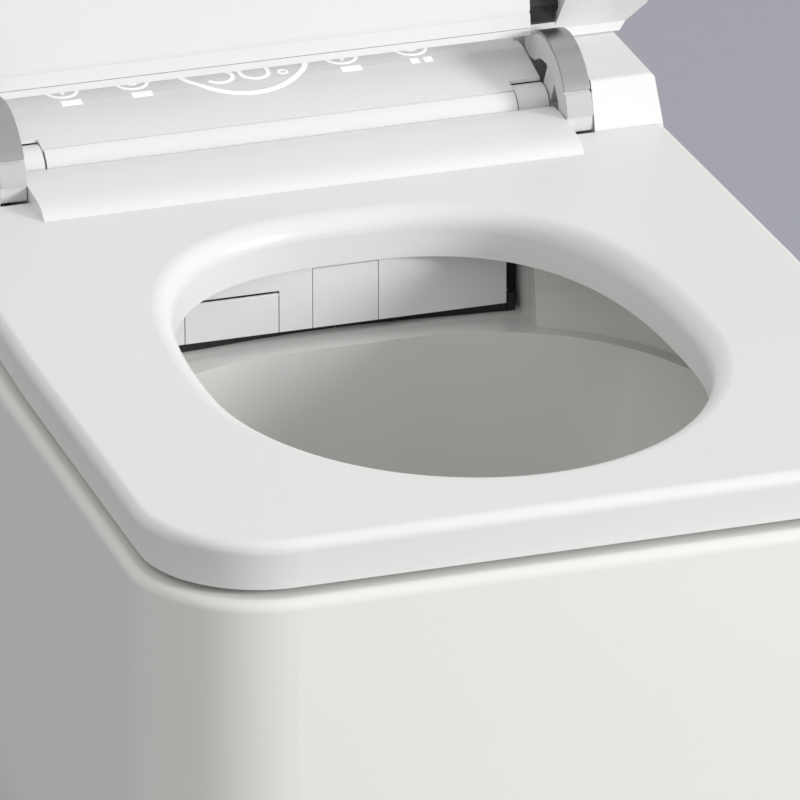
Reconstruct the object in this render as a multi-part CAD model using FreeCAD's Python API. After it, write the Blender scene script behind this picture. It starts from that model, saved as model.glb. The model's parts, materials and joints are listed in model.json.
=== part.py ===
import FreeCAD, Part
import math
import os

# Wall hung bidet toilet with a heated seat, in millimetres.
# +Z is up, the front faces -Y and the wall is the plane Y = 0.
# The origin is midway between the two wall bolts, on the face that meets the wall.
# Places near the hinge are given as reach (forward of the hinge line) and rise (above it).

# Driving sizes of the ceramic pan
pan_width = 394.0
pan_depth = 572.0
pan_corner_radius = 62.0
rim_height = 103.0
pan_drop = 245.0
upright_height = 190.0
keel_side_inset = 72.0
keel_depth = 330.0
keel_corner_radius = 70.0
pan_wall = 12.0
rim_edge_radius = 5.0
skirt_level_shares = (0.0, 0.3, 0.58, 0.82, 1.0)
skirt_inset_shares = (0.0, 0.06, 0.25, 0.56, 1.0)

# Bowl, trap and water ways
bowl_side_gap = 32.0
bowl_front_gap = 27.0
bowl_back_from_wall = 219.0
bowl_corner_share = 0.8
band_height = 34.0
band_taper = 4.0
ledge_width = 11.0
bowl_wall = 11.0
bowl_level_shares = (0.0, 0.32, 0.66, 1.0)
bowl_width_shares = (1.0, 0.8, 0.52, 0.27)
bowl_front_shares = (0.0, 0.09, 0.25, 0.4)
bowl_back_shares = (0.0, 0.07, 0.16, 0.26)
sump_depth = 290.0
trap_radius = 35.0
trap_wall = 9.0
throat_share = 0.583
throat_run = 85.0
throat_height = 36.0
weir_from_wall = 175.0
weir_rise = 50.0
outlet_run = 95.0
outlet_drop = 100.0
outlet_radius = 51.0
outlet_spigot_length = 40.0
outlet_socket_room = 16.0
outlet_wall = 10.0
inlet_height = 35.0
inlet_radius = 27.5
inlet_run = 206.0
inlet_wall = 10.0
flush_slot_width = 96.0
flush_slot_depth = 18.0

# Wall fixing
bolt_spacing = 180.0
bolt_hole_radius = 9.0
back_window_share = 0.315
back_window_height = 120.0
back_window_radius = 18.0
back_window_gap = 24.0
back_window_sink = 16.0

# Rear deck that carries the bidet unit
deck_sink = 28.0
deck_side_wall = 19.0
deck_back_wall = 12.0
deck_front_from_wall = 150.0
nozzle_notch_sink = 34.0
nozzle_notch_margin = 5.0
service_slot_width = 44.0
service_slot_share = 0.73

# Seat
seat_inset = 7.0
seat_gap = 3.5
seat_thickness = 24.5
seat_front_radius = 57.0
seat_edge_radius = 5.0
seat_rear_narrowing = 5.0
seat_taper_length = 170.0
seat_side_width = 72.0
seat_opening_back_from_wall = 217.0
seat_opening_front_share = 0.435
seat_opening_front_power = 2.0
seat_opening_rear_power = 2.7
seat_opening_points = 40
seat_opening_from_front = 40.0
seat_opening_edge_radius = 10.0
seat_wall = 3.0
seat_base_thickness = 3.0
seat_heater_thickness = 0.8
seat_pocket_side_margin = 12.0
seat_pocket_front_margin = 12.0
seat_flare = 4.5
seat_bumper_width = 11.0
seat_bumper_length = 34.0
seat_bumper_shares = (0.2, 0.66)
seat_bumper_seat_clearance = 0.3

# Hinge line
hinge_from_wall = 115.5
hinge_rise = 1.5
shaft_radius = 5.0
shaft_clearance = 0.06
pedestal_lug_gap = 0.9
shaft_length = 46.0
seat_tail_reach = 16.0
seat_cheek_reach = 38.2
lug_arm_gap = 0.8
lug_width = 15.8
lug_radius = 11.5
bar_arm_gap = 0.6
bar_reach = 63.0
bar_height = 7.4
bar_length_shares = (0.0, 0.085, 0.21, 0.43, 0.9, 1.0)
bar_rise_shares = (0.0, 0.5, 0.76, 0.9, 1.0, 0.93)

# Lid arms
arm_cheek_gap = 0.6
arm_width = 13.3
arm_radius = 37.0
arm_band = 14.0
arm_spoke = 12.0
arm_eye_radius = 10.0
arm_trim_thickness = 1.8
arm_start_angle = -99.0
arm_end_angle = 30.0
trim_start_angle = -66.0
trim_end_angle = 15.0
cap_start_angle = -86.5
cap_end_angle = -68.5
cap_thickness = 1.4
arm_tang_reach = 110.0
arm_tang_thickness = 7.5
glue_gap = 0.05

# Lid
lid_open_angle = 97.0
lid_overhang = 8.0
lid_front_overhang = 8.0
lid_height = 30.0
lid_skin = 3.5
lid_corner_radius = 64.0
lid_edge_radius = 7.0
lid_skirt_rise = 1.0
lid_lip_reach = 26.0
lid_middle_reach = 32.5
lid_lip_inset = 11.0
lid_corner_cut = 16.0
lid_panel_rise = 13.0
lid_panel_thickness = 3.0
lid_panel_clearance = 0.3
lid_panel_groove_inset = 14.0
lid_panel_groove_width = 1.6
lid_panel_groove_depth = 0.8
lid_arm_slot_gap = 1.2
lid_arm_window_reach = 62.0
arm_clamp_margin = 3.0
arm_clamp_reach = 46.0
lid_cheek_gap = 2.0
lid_bumper_radius = 7.0
lid_bumper_seat_clearance = 0.4
lid_bumper_side_inset = 24.0
lid_bumper_reach_shares = (0.42, 0.93)

# Housing of the bidet unit
cover_side_inset = 7.0
cover_from_wall = 14.0
cover_wall = 2.5
cover_edge_radius = 2.5
cheek_width = 38.1
cheek_reach = 37.4
cheek_lean = 7.4
cheek_rise = 22.5
cheek_top_inset = 5.2
cover_rim_clearance = 0.3
cover_shaft_gap = 0.6
panel_arm_gap = 0.8
panel_front_reach = 3.5
panel_front_rise = 11.3
panel_back_reach = 30.0
panel_back_rise = 19.5
arm_slot_reach = 38.6
lug_notch_gap = 0.4
lug_notch_back = 4.0
lug_notch_radius = 12.2
fascia_radius = 12.3
fascia_wall = 2.4
fascia_lug_gap = 0.8
fascia_seam = 0.8
fascia_top_angle = 65.0

# Base tray
tray_floor = 3.0
tray_wall = 2.5
tray_gap = 2.0
tray_wall_height = 18.0
tongue_margin = 3.0
tongue_front_from_wall = 212.2
pedestal_width = 4.5
pedestal_radius = 9.0
pedestal_foot = 13.0
tray_bolt_radius = 4.0
tray_bolt_head_radius = 6.0
tray_bolt_head_height = 5.0
tray_bolt_depth = 9.0
tray_bolt_clearance = 0.3
tray_bolt_share = 0.506
tray_bolt_from_wall = 23.5

# Nozzle unit
nozzle_side_inset = 33.0
nozzle_panel_from_wall = 215.0
nozzle_panel_thickness = 2.4
nozzle_panel_drop = 1.2
nozzle_top_below_seat = 25.0
nozzle_case_wall = 2.0
nozzle_case_from_wall = 104.0
gate_place_share = 0.035
gate_width_share = 0.388
gate_height = 31.0
gate_clearance = 0.4
wand_radius = 6.5
wand_length = 100.0
wand_slope = 4.0
wand_bore_radius = 3.0
wand_drop_from_top = 17.5
wand_hole_radius = 0.7
wand_hole_pitch = 4.0
wand_hole_rows = 3
wand_hole_setback = 12.0
guide_length = 46.0
guide_clearance = 0.1
guide_wall = 3.0
guide_setback = 4.0
flap_place_share = -0.918
flap_width_share = 0.553
flap_height = 20.4
flap_clearance = 0.5
flap_top_gap = 1.4
flap_thickness = 2.0
flap_pin_radius = 0.7
flap_pin_clearance = 0.05
flap_pin_length = 1.6
seal_setback = 8.0
seal_depth = 8.0
seal_clearance = 0.3
seal_top_gap = 1.0

# Inside the housing
duct_wall = 1.5
duct_top_gap = 1.2
duct_port_gap = 0.3
duct_back_from_wall = 101.0
blower_offset = 3.5
blower_from_wall = 68.0
blower_radius = 27.0
blower_height = 26.0
blower_wall = 2.0
blower_eye_radius = 11.0
blower_spout_width = 30.0
blower_spout_height = 16.0
impeller_radius = 21.0
impeller_height = 15.0
impeller_hub_radius = 5.0
impeller_pin_radius = 2.0
impeller_clearance = 0.06
impeller_disc = 1.6
impeller_lift = 1.2
impeller_vanes = 11
impeller_vane_thickness = 1.4
heater_place_share = 0.773
heater_width_share = 0.42
heater_from_wall = 47.0
heater_depth = 50.0
heater_height = 34.0
heater_edge_radius = 6.0
heater_port_radius = 5.0
heater_port_length = 9.0
heater_port_share = 0.33
valve_width = 44.0
valve_from_wall = 54.0
valve_depth = 34.0
valve_height = 26.0
valve_coil_radius = 11.0
valve_coil_height = 14.0
valve_edge_radius = 2.0
supply_radius = 10.475
supply_bore_radius = 6.5
supply_neck_radius = 9.5
supply_end_from_wall = 1.5
supply_flange_radius = 12.0
supply_flange_thickness = 3.0
supply_clearance = 0.3
gland_radius = 8.0
gland_bore_radius = 3.6
gland_flange_radius = 11.0
gland_flange_thickness = 3.0
gland_end_from_wall = 3.0
gland_height = 12.0
board_place_share = 0.3125
board_width_share = 0.523
board_depth = 62.0
board_from_wall = 62.0
board_thickness = 1.6
board_post_height = 6.0
board_post_radius = 3.0
board_post_inset = 5.0
relay_size = 15.0
relay_height = 12.0
relay_pitch = 19.0
relay_count = 3
capacitor_radius = 6.0
capacitor_height = 18.0
capacitor_share = 0.33
display_inset = 33.2
display_front_reach = 32.0
display_back_reach = 62.0
display_thickness = 1.6
display_post_radius = 3.0
display_post_inset = 6.0
display_post_height = 2.4
motor_radius = 11.0
motor_length = 22.0
motor_offset = 15.5
motor_from_wall = 128.0
motor_pad = 3.0
motor_sink = 1.5
damper_radius = 8.0
damper_length = 18.0
damper_gap = 0.3

# One overrun for every cut, and how close two places count as one
over = 2.0
same_place = 0.01

# Places worked out from the sizes
pan_half = pan_width / 2
keel_half = pan_half - keel_side_inset
pan_front = -pan_depth
rim_z = rim_height
upright_z = rim_z - upright_height
keel_z = -pan_drop
bowl_half = pan_half - bowl_side_gap
bowl_front = pan_front + bowl_front_gap
bowl_back = -bowl_back_from_wall
bowl_length = bowl_back - bowl_front
bowl_corner_radius = bowl_corner_share * min(bowl_half, bowl_length / 2)
back_window_width = back_window_share * pan_half
band_z = rim_z - band_height
sump_z = rim_z - sump_depth
deck_z = rim_z - deck_sink
deck_half = pan_half - deck_side_wall
deck_front = -deck_front_from_wall
service_slot_offset = service_slot_share * deck_half
notch_z = rim_z - nozzle_notch_sink
seat_half = pan_half - seat_inset
seat_front = pan_front + seat_inset
seat_under_z = rim_z + seat_gap
seat_top_z = seat_under_z + seat_thickness
hinge_y = -hinge_from_wall
hinge_z = seat_top_z + hinge_rise
opening_front = seat_front + seat_opening_from_front
opening_half = seat_half - seat_side_width
opening_length = -seat_opening_back_from_wall - opening_front
opening_front_length = seat_opening_front_share * opening_length
opening_rear_length = opening_length - opening_front_length
opening_y = opening_front + opening_front_length
cover_half_width = pan_half - cover_side_inset
cheek_inner = cover_half_width - cheek_width
arm_inner = cheek_inner - arm_cheek_gap - arm_width
panel_half_width = arm_inner - panel_arm_gap
bar_half_width = arm_inner - bar_arm_gap
lug_inner = arm_inner - lug_arm_gap - lug_width
lug_notch_inner = lug_inner - lug_notch_gap
fascia_half_width = lug_inner - fascia_lug_gap
shaft_inner = lug_inner - pedestal_lug_gap - pedestal_width
shaft_outer = shaft_inner + shaft_length
display_half_width = panel_half_width - display_inset
tray_z = deck_z + tray_floor
tray_half = deck_half - tray_gap
tray_bolt_x = tray_bolt_share * tray_half
heater_width = heater_width_share * tray_half
heater_x = -heater_place_share * tray_half
board_width = board_width_share * tray_half
board_x = board_place_share * tray_half
tray_front = deck_front + tray_gap
tray_back = -deck_back_wall - tray_gap
nozzle_top_z = seat_top_z - nozzle_top_below_seat
nozzle_half = opening_half - nozzle_side_inset
tongue_half = nozzle_half + tongue_margin
notch_half = tongue_half + nozzle_notch_margin
gate_x = gate_place_share * nozzle_half
gate_width = gate_width_share * nozzle_half
flap_left = flap_place_share * nozzle_half
flap_width = flap_width_share * nozzle_half
blower_x = flap_left + flap_width / 2 - blower_offset
motor_x = gate_x + motor_offset
nozzle_front = -nozzle_panel_from_wall
panel_back_y = nozzle_front + nozzle_panel_thickness
panel_foot_z = deck_z - nozzle_panel_drop
wand_z = nozzle_top_z - wand_drop_from_top
service_z = tray_z + gland_height


def vec(x, y, z):
    return FreeCAD.Vector(x, y, z)


def reach(y):
    """Distance of a plane Y in front of the hinge line."""
    return hinge_y - y


def at_hinge(forward, rise, x=0):
    """A point given by its reach forward of the hinge line and its rise above it."""
    return vec(x, hinge_y - forward, hinge_z + rise)


def box(x0, x1, y0, y1, z0, z1):
    return Part.makeBox(x1 - x0, y1 - y0, z1 - z0, vec(x0, y0, z0))


def rod_x(x0, x1, y, z, radius):
    return Part.makeCylinder(radius, x1 - x0, vec(x0, y, z), vec(1, 0, 0))


def rod_y(x, y0, y1, z, radius):
    return Part.makeCylinder(radius, y1 - y0, vec(x, y0, z), vec(0, 1, 0))


def rod_z(x, y, z0, z1, radius):
    return Part.makeCylinder(radius, z1 - z0, vec(x, y, z0), vec(0, 0, 1))


def hinge_rod(x0, x1, radius):
    return rod_x(x0, x1, hinge_y, hinge_z, radius)


def prism_x(outline, x0, x1):
    """Extrude an outline of (reach, rise) points along X."""
    points = [at_hinge(forward, rise, x0) for forward, rise in outline]
    face = Part.Face(Part.makePolygon(points + points[:1]))
    return face.extrude(vec(x1 - x0, 0, 0))


def polar(radius, angle):
    """Reach and rise of a point at an angle above the forward direction."""
    turn = math.radians(angle)
    return radius * math.cos(turn), radius * math.sin(turn)


def sector(inner, outer, start, end, x0, x1):
    """Part of a ring round the hinge line, between two angles above the forward direction."""
    middle = (start + end) / 2

    def arc(radius, a, b, c):
        return Part.Arc(*[at_hinge(*polar(radius, angle), x0) for angle in (a, b, c)]).toShape()

    def spoke(r0, r1, angle):
        return Part.makeLine(at_hinge(*polar(r0, angle), x0), at_hinge(*polar(r1, angle), x0))

    edges = [
        arc(outer, start, middle, end),
        spoke(outer, inner, end),
        arc(inner, end, middle, start),
        spoke(inner, outer, start),
    ]
    return Part.Face(Part.Wire(edges)).extrude(vec(x1 - x0, 0, 0))


def corner_arc(x, y, z, radius, start):
    """A quarter circle about (x, y), from an angle in degrees and on by 90."""
    points = []
    for step in (0, 45, 90):
        turn = math.radians(start + step)
        points.append(vec(x + radius * math.cos(turn), y + radius * math.sin(turn), z))
    return Part.Arc(*points).toShape()


def rounded_wire(half_width, front, back, radius, z):
    """A closed plan outline, symmetric in X, with four rounded corners."""
    arcs = [
        corner_arc(-half_width + radius, front + radius, z, radius, 180),
        corner_arc(half_width - radius, front + radius, z, radius, 270),
        corner_arc(half_width - radius, back - radius, z, radius, 0),
        corner_arc(-half_width + radius, back - radius, z, radius, 90),
    ]
    edges = []
    for here, following in zip(arcs, arcs[1:] + arcs[:1]):
        edges.append(here)
        edges.append(Part.makeLine(here.lastVertex().Point, following.firstVertex().Point))
    return Part.Wire(edges)


def front_wire(half_width, front, back, radius, z):
    """A closed plan outline with rounded front corners and a straight rear edge."""
    left = corner_arc(-half_width + radius, front + radius, z, radius, 180)
    right = corner_arc(half_width - radius, front + radius, z, radius, 270)
    rear_right = vec(half_width, back, z)
    rear_left = vec(-half_width, back, z)
    edges = [
        left,
        Part.makeLine(left.lastVertex().Point, right.firstVertex().Point),
        right,
        Part.makeLine(right.lastVertex().Point, rear_right),
        Part.makeLine(rear_right, rear_left),
        Part.makeLine(rear_left, left.firstVertex().Point),
    ]
    return Part.Wire(edges)


def raise_wire(wire, height):
    return Part.Face(wire).extrude(vec(0, 0, height))


def mirrored(shape):
    return shape.mirror(vec(0, 0, 0), vec(1, 0, 0))


def both_sides(shapes):
    """The shapes and their mirror images in the middle plane, in one list."""
    return list(shapes) + [mirrored(shape) for shape in shapes]


def fuse(shapes):
    first, *others = shapes
    return first.fuse(others).removeSplitter() if others else first


def chain(points, radius):
    """A round passage through points in the middle plane, given as (y, z)."""
    pieces = []
    for (y0, z0), (y1, z1) in zip(points, points[1:]):
        along = vec(0, y1 - y0, z1 - z0)
        pieces.append(Part.makeCylinder(radius, along.Length, vec(0, y0, z0), along))
    for y, z in points[:-1]:
        pieces.append(Part.makeSphere(radius, vec(0, y, z)))
    return fuse(pieces)


def edges_where(shape, test):
    """Edges whose every vertex, and middle, passes a test on its point."""
    found = []
    for edge in shape.Edges:
        middle = edge.valueAt((edge.FirstParameter + edge.LastParameter) / 2)
        points = [vertex.Point for vertex in edge.Vertexes] + [middle]
        if all(test(point) for point in points):
            found.append(edge)
    return found


def near(a, b):
    return abs(a - b) < same_place


def save(name, shape):
    os.makedirs("parts", exist_ok=True)
    shape.exportStep(f"parts/{name}.step")


def pan_form(inset, top_z):
    """The outer form of the pan, drawn in by an inset on every side but the wall and the top."""
    half = pan_half - inset
    front = pan_front + inset
    corner = pan_corner_radius - inset
    upright = raise_wire(front_wire(half, front, 0, corner, upright_z), top_z - upright_z)
    foot_z = keel_z + inset
    sections = []
    for level, share in zip(skirt_level_shares, skirt_inset_shares):
        z = upright_z + level * (foot_z - upright_z)
        width = pan_half + share * (keel_half - pan_half) - inset
        nose = pan_front + share * (pan_depth - keel_depth) + inset
        radius = pan_corner_radius + share * (keel_corner_radius - pan_corner_radius) - inset
        sections.append(front_wire(width, nose, 0, radius, z))
    return fuse([upright, Part.makeLoft(sections, True)])


def bowl_form(growth):
    """The inside of the bowl, or its outside when grown by the bowl's wall."""
    half = bowl_half + growth
    front = bowl_front - growth
    back = bowl_back + growth
    radius = bowl_corner_radius + growth
    rim = rounded_wire(half, front, back, radius, rim_z + over)
    low = rounded_wire(
        half - band_taper, front + band_taper, back - band_taper, radius - band_taper, band_z - growth
    )
    band = Part.makeLoft([rim, low], True, True)
    sections = []
    shares = zip(bowl_level_shares, bowl_width_shares, bowl_front_shares, bowl_back_shares)
    for level, width_share, front_share, back_share in shares:
        z = band_z - growth + level * (sump_z - band_z)
        width = (bowl_half - ledge_width) * width_share + growth
        nose = bowl_front + ledge_width + front_share * bowl_length - growth
        tail = bowl_back - ledge_width - back_share * bowl_length + growth
        corner = min(width, (tail - nose) / 2) * bowl_corner_share
        sections.append(rounded_wire(width, nose, tail, corner, z))
    return fuse([band, Part.makeLoft(sections, True)])


def trap_points():
    """The middle line of the trap, from the sump over the weir to the wall, as (y, z)."""
    throat_y = bowl_front + throat_share * bowl_length
    throat_z = sump_z + throat_height
    return [
        (throat_y, throat_z),
        (throat_y + throat_run, throat_z),
        (-weir_from_wall, -weir_rise),
        (-outlet_run, -outlet_drop),
        (0, -outlet_drop),
    ]


def flush_channel(growth):
    """The flush way from the wall to the slot under the nozzle unit."""
    half = flush_slot_width / 2 + growth
    back = flush_slot_depth - inlet_run + growth
    pipe = rod_y(0, -inlet_run - growth, 0, inlet_height, inlet_radius + growth)
    slot = box(-half, half, -inlet_run - growth, back, inlet_height - growth, notch_z + over)
    return fuse([pipe, slot])


def outlet_spigot(radius):
    start = -outlet_spigot_length - pan_wall
    return rod_y(0, start, 0, -outlet_drop, radius)


def make_ceramic_pan():
    form = pan_form(0, rim_z)
    rim_edges = edges_where(form, lambda p: near(p.z, rim_z) and p.y < -same_place)
    form = form.makeFillet(rim_edge_radius, rim_edges)

    trap = trap_points()
    hollow = pan_form(pan_wall, rim_z - pan_wall)
    hollow = hollow.cut(box(-pan_half, pan_half, -pan_wall, over, keel_z, rim_z))
    deck_block = box(-pan_half, pan_half, deck_front - pan_wall, over, deck_z - pan_wall, rim_z)
    notch_block = box(
        -notch_half - pan_wall, notch_half + pan_wall, bowl_back - pan_wall, over, notch_z - pan_wall, rim_z
    )
    solids_inside = [
        bowl_form(bowl_wall),
        chain(trap, trap_radius + trap_wall),
        flush_channel(inlet_wall),
        outlet_spigot(outlet_radius),
        deck_block,
        notch_block,
    ]
    for solid in solids_inside:
        hollow = hollow.cut(solid)

    deck_well = box(-deck_half, deck_half, deck_front, -deck_back_wall, deck_z, rim_z + over)
    notch = box(-notch_half, notch_half, opening_y, deck_front + over, notch_z, rim_z + over)
    slots = [
        box(
            side * service_slot_offset - service_slot_width / 2,
            side * service_slot_offset + service_slot_width / 2,
            -deck_back_wall - over,
            over,
            deck_z,
            rim_z + over,
        )
        for side in (-1, 1)
    ]
    bolt_holes = [
        rod_y(side * bolt_spacing / 2, -pan_wall - over, over, 0, bolt_hole_radius) for side in (-1, 1)
    ]
    window_left = outlet_radius + outlet_socket_room + back_window_gap
    window_top = -bolt_hole_radius - back_window_sink
    window = raise_wire(
        rounded_wire(
            back_window_width / 2,
            window_top - back_window_height,
            window_top,
            back_window_radius,
            -over,
        ),
        pan_wall + over + over,
    )
    window.rotate(vec(0, 0, 0), vec(1, 0, 0), 90)
    window.translate(vec(window_left + back_window_width / 2, 0, 0))
    socket = rod_y(0, -pan_wall - over, over, -outlet_drop, outlet_radius + outlet_socket_room)
    socket = socket.cut(outlet_spigot(outlet_radius))
    outlet_bore = rod_y(0, -outlet_spigot_length, over, -outlet_drop, outlet_radius - outlet_wall)
    tray_bolt_holes = [
        rod_z(
            side * tray_bolt_x,
            -tray_bolt_from_wall,
            deck_z - tray_bolt_depth - tray_bolt_clearance,
            deck_z + over,
            tray_bolt_radius + tray_bolt_clearance,
        )
        for side in (-1, 1)
    ]

    pan = form.cut(hollow)
    cuts = [
        bowl_form(0),
        chain(trap, trap_radius),
        flush_channel(0),
        deck_well,
        notch,
        socket,
        outlet_bore,
        *slots,
        *bolt_holes,
        *tray_bolt_holes,
        *both_sides([window]),
    ]
    for shape in cuts:
        pan = pan.cut(shape)
    return pan


save("ceramic_pan", make_ceramic_pan())


def seat_outline(flare, z):
    """Plan outline of the seat, narrowing to the rear, grown by a flare on all sides but the rear."""
    cheek_y = hinge_y - seat_cheek_reach
    half = seat_half + flare
    rear_half = half - seat_rear_narrowing
    taper_y = cheek_y - seat_taper_length
    radius = seat_front_radius + flare
    turn_x = half - radius
    turn_y = seat_front - flare + radius
    left = corner_arc(-turn_x, turn_y, z, radius, 180)
    right = corner_arc(turn_x, turn_y, z, radius, 270)
    corners = [
        right.lastVertex().Point,
        vec(half, taper_y, z),
        vec(rear_half, cheek_y, z),
        vec(-rear_half, cheek_y, z),
        vec(-half, taper_y, z),
        left.firstVertex().Point,
    ]
    sides = [Part.makeLine(a, b) for a, b in zip(corners, corners[1:])]
    front = Part.makeLine(left.lastVertex().Point, right.firstVertex().Point)
    return Part.Wire([left, front, right] + sides)


def seat_opening(growth, z0, z1):
    """The opening of the seat: an oval in front of its widest line and a squarer one behind it."""
    half = opening_half + growth
    points = []
    for step in range(seat_opening_points):
        turn = 2 * math.pi * step / seat_opening_points
        across = math.cos(turn)
        along = math.sin(turn)
        if along < 0:
            power = seat_opening_front_power
            length = opening_front_length + growth
        else:
            power = seat_opening_rear_power
            length = opening_rear_length + growth
        x = math.copysign(half * abs(across) ** (2 / power), across)
        y = math.copysign(length * abs(along) ** (2 / power), along)
        points.append(vec(x, opening_y + y, z0))
    curve = Part.BSplineCurve()
    curve.interpolate(points, PeriodicFlag=True)
    return raise_wire(Part.Wire(curve.toShape()), z1 - z0)


def seat_pocket(clearance, z0, z1):
    """The hollow of the seat between its outer and inner walls."""
    side = seat_half - seat_rear_narrowing - seat_pocket_side_margin - clearance
    front = seat_front + seat_pocket_front_margin + clearance
    back = hinge_y - bar_reach - clearance
    radius = seat_front_radius - seat_pocket_front_margin
    pocket = raise_wire(front_wire(side, front, back, radius, z0), z1 - z0)
    return pocket.cut(seat_opening(seat_pocket_side_margin + clearance, z0 - over, z1 + over))


def make_seat_shell():
    slab = Part.makeLoft([seat_outline(0, seat_under_z), seat_outline(seat_flare, seat_top_z)], True, True)
    rear_limit = hinge_y - seat_cheek_reach - same_place
    rim = edges_where(slab, lambda p: near(p.z, seat_top_z))
    rim = [edge for edge in rim if edge.CenterOfMass.y < rear_limit]
    slab = slab.makeFillet(seat_edge_radius, rim)
    slab = slab.cut(seat_opening(0, seat_under_z - over, seat_top_z + over))
    lip_half = opening_half + seat_wall
    lip_front = opening_front - seat_wall
    lip_back = opening_y + opening_rear_length + seat_wall
    lip = edges_where(slab, lambda p: near(p.z, seat_top_z) and abs(p.x) < lip_half
                      and lip_front < p.y < lip_back)
    slab = slab.makeFillet(seat_opening_edge_radius, lip)
    return slab.cut(seat_pocket(0, seat_under_z - over, seat_top_z - seat_wall))


def make_seat_base():
    return seat_pocket(glue_gap, seat_under_z, seat_under_z + seat_base_thickness)


def make_seat_heater():
    top = seat_top_z - seat_wall
    return seat_pocket(seat_wall, top - seat_heater_thickness, top)


def make_seat_bumpers():
    x = (bowl_half + pan_half) / 2
    bumpers = []
    for share in seat_bumper_shares:
        y = seat_front + share * (hinge_y - seat_front)
        bumpers.append(box(
            x - seat_bumper_width / 2,
            x + seat_bumper_width / 2,
            y - seat_bumper_length / 2,
            y + seat_bumper_length / 2,
            rim_z + seat_bumper_seat_clearance,
            seat_under_z,
        ))
    return Part.makeCompound(both_sides(bumpers))


def make_hinge_bar():
    """The low rounded bar on the seat's rear edge, with the tail behind it and two hinge lugs."""
    length = bar_reach - seat_tail_reach
    crest = [
        at_hinge(bar_reach - along * length, rise * bar_height - hinge_rise, -bar_half_width)
        for along, rise in zip(bar_length_shares, bar_rise_shares)
    ]
    curve = Part.BSplineCurve()
    curve.interpolate(crest)
    foot = at_hinge(seat_tail_reach, -hinge_rise, -bar_half_width)
    edges = [curve.toShape(), Part.makeLine(crest[-1], foot), Part.makeLine(foot, crest[0])]
    crown = Part.Face(Part.Wire(edges)).extrude(vec(2 * bar_half_width, 0, 0))
    tail_front = seat_cheek_reach - glue_gap
    tail_foot = -hinge_rise - seat_thickness
    tail = prism_x(
        [
            (seat_tail_reach, -hinge_rise),
            (tail_front, -hinge_rise),
            (tail_front, tail_foot),
            (seat_tail_reach, tail_foot),
        ],
        -bar_half_width,
        bar_half_width,
    )
    web = [(seat_tail_reach, -hinge_rise), (seat_tail_reach, tail_foot), (0, -lug_radius), (0, lug_radius)]
    lug = fuse([
        prism_x(web, lug_inner, lug_inner + lug_width),
        hinge_rod(lug_inner, lug_inner + lug_width, lug_radius),
    ])
    bore_radius = shaft_radius + shaft_clearance
    lug = lug.cut(hinge_rod(lug_inner - over, lug_inner + lug_width + over, bore_radius))
    return fuse([crown, tail] + both_sides([lug]))


save("seat_shell", make_seat_shell())
save("seat_base_plate", make_seat_base())
save("seat_heater_film", make_seat_heater())
save("seat_bumpers", make_seat_bumpers())
save("hinge_bar", make_hinge_bar())


def opened(shape):
    """Turn a lid piece from its closed place to the open place in which the part rests."""
    turned = shape.copy()
    turned.rotate(at_hinge(0, 0), vec(1, 0, 0), -lid_open_angle)
    return turned


def lid_outline(inset, z):
    """Plan outline of the closed lid, drawn in by an inset, with its rear corners cut."""
    half = seat_half + lid_overhang - inset
    front = seat_front - lid_front_overhang + inset
    radius = lid_corner_radius - inset
    lip_y = hinge_y - lid_lip_reach - inset
    lip_half = seat_half + lid_overhang - lid_lip_inset - inset
    left = corner_arc(-half + radius, front + radius, z, radius, 180)
    right = corner_arc(half - radius, front + radius, z, radius, 270)
    corners = [
        right.lastVertex().Point,
        vec(half, lip_y - lid_corner_cut, z),
        vec(lip_half, lip_y, z),
        vec(-lip_half, lip_y, z),
        vec(-half, lip_y - lid_corner_cut, z),
        left.firstVertex().Point,
    ]
    sides = [Part.makeLine(a, b) for a, b in zip(corners, corners[1:])]
    front_edge = Part.makeLine(left.lastVertex().Point, right.firstVertex().Point)
    return Part.Wire([left, front_edge, right] + sides)


def lid_slab(inset, low, high):
    return raise_wire(lid_outline(inset, hinge_z + low), high - low)


def cheek_slant(gap):
    """Reach plus rise on the slanted plane that the closed lid keeps in front of each cheek."""
    return cheek_reach - cheek_lean + cheek_rise + (lid_cheek_gap + gap) * math.sqrt(2)


def cheek_clearance(gap, side_gap):
    """The space that the closed lid leaves free beside and in front of each cheek."""
    shelf = cheek_rise + lid_cheek_gap + gap
    slant = cheek_slant(gap)
    low = lid_skirt_rise - over
    outline = [(0, low), (slant - low, low), (slant - shelf, shelf), (0, shelf)]
    outer = seat_half + lid_overhang + over
    return both_sides([prism_x(outline, panel_half_width - side_gap, outer)])


def tang_rises():
    """Lower and upper rise of the arms' tangs in the closed lid."""
    top = lid_height - lid_skin - glue_gap
    return top - arm_tang_thickness, top


def arm_slots(far_reach):
    """The way kept free for each arm in the closed lid, as far as a given reach."""
    low = lid_skirt_rise - over
    high = lid_height - lid_skin
    outline = [(0, low), (far_reach, low), (far_reach, high), (0, high)]
    x0 = arm_inner - lid_arm_slot_gap
    x1 = arm_inner + arm_width + lid_arm_slot_gap
    return both_sides([prism_x(outline, x0, x1)])


def lid_middle(gap, low, high):
    """The strip between the arms in which the lid ends further from the hinge than at its corners."""
    far = lid_middle_reach + gap
    half = arm_inner + arm_width + lid_arm_slot_gap
    return prism_x([(0, low), (far, low), (far, high), (0, high)], -half, half)


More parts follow.
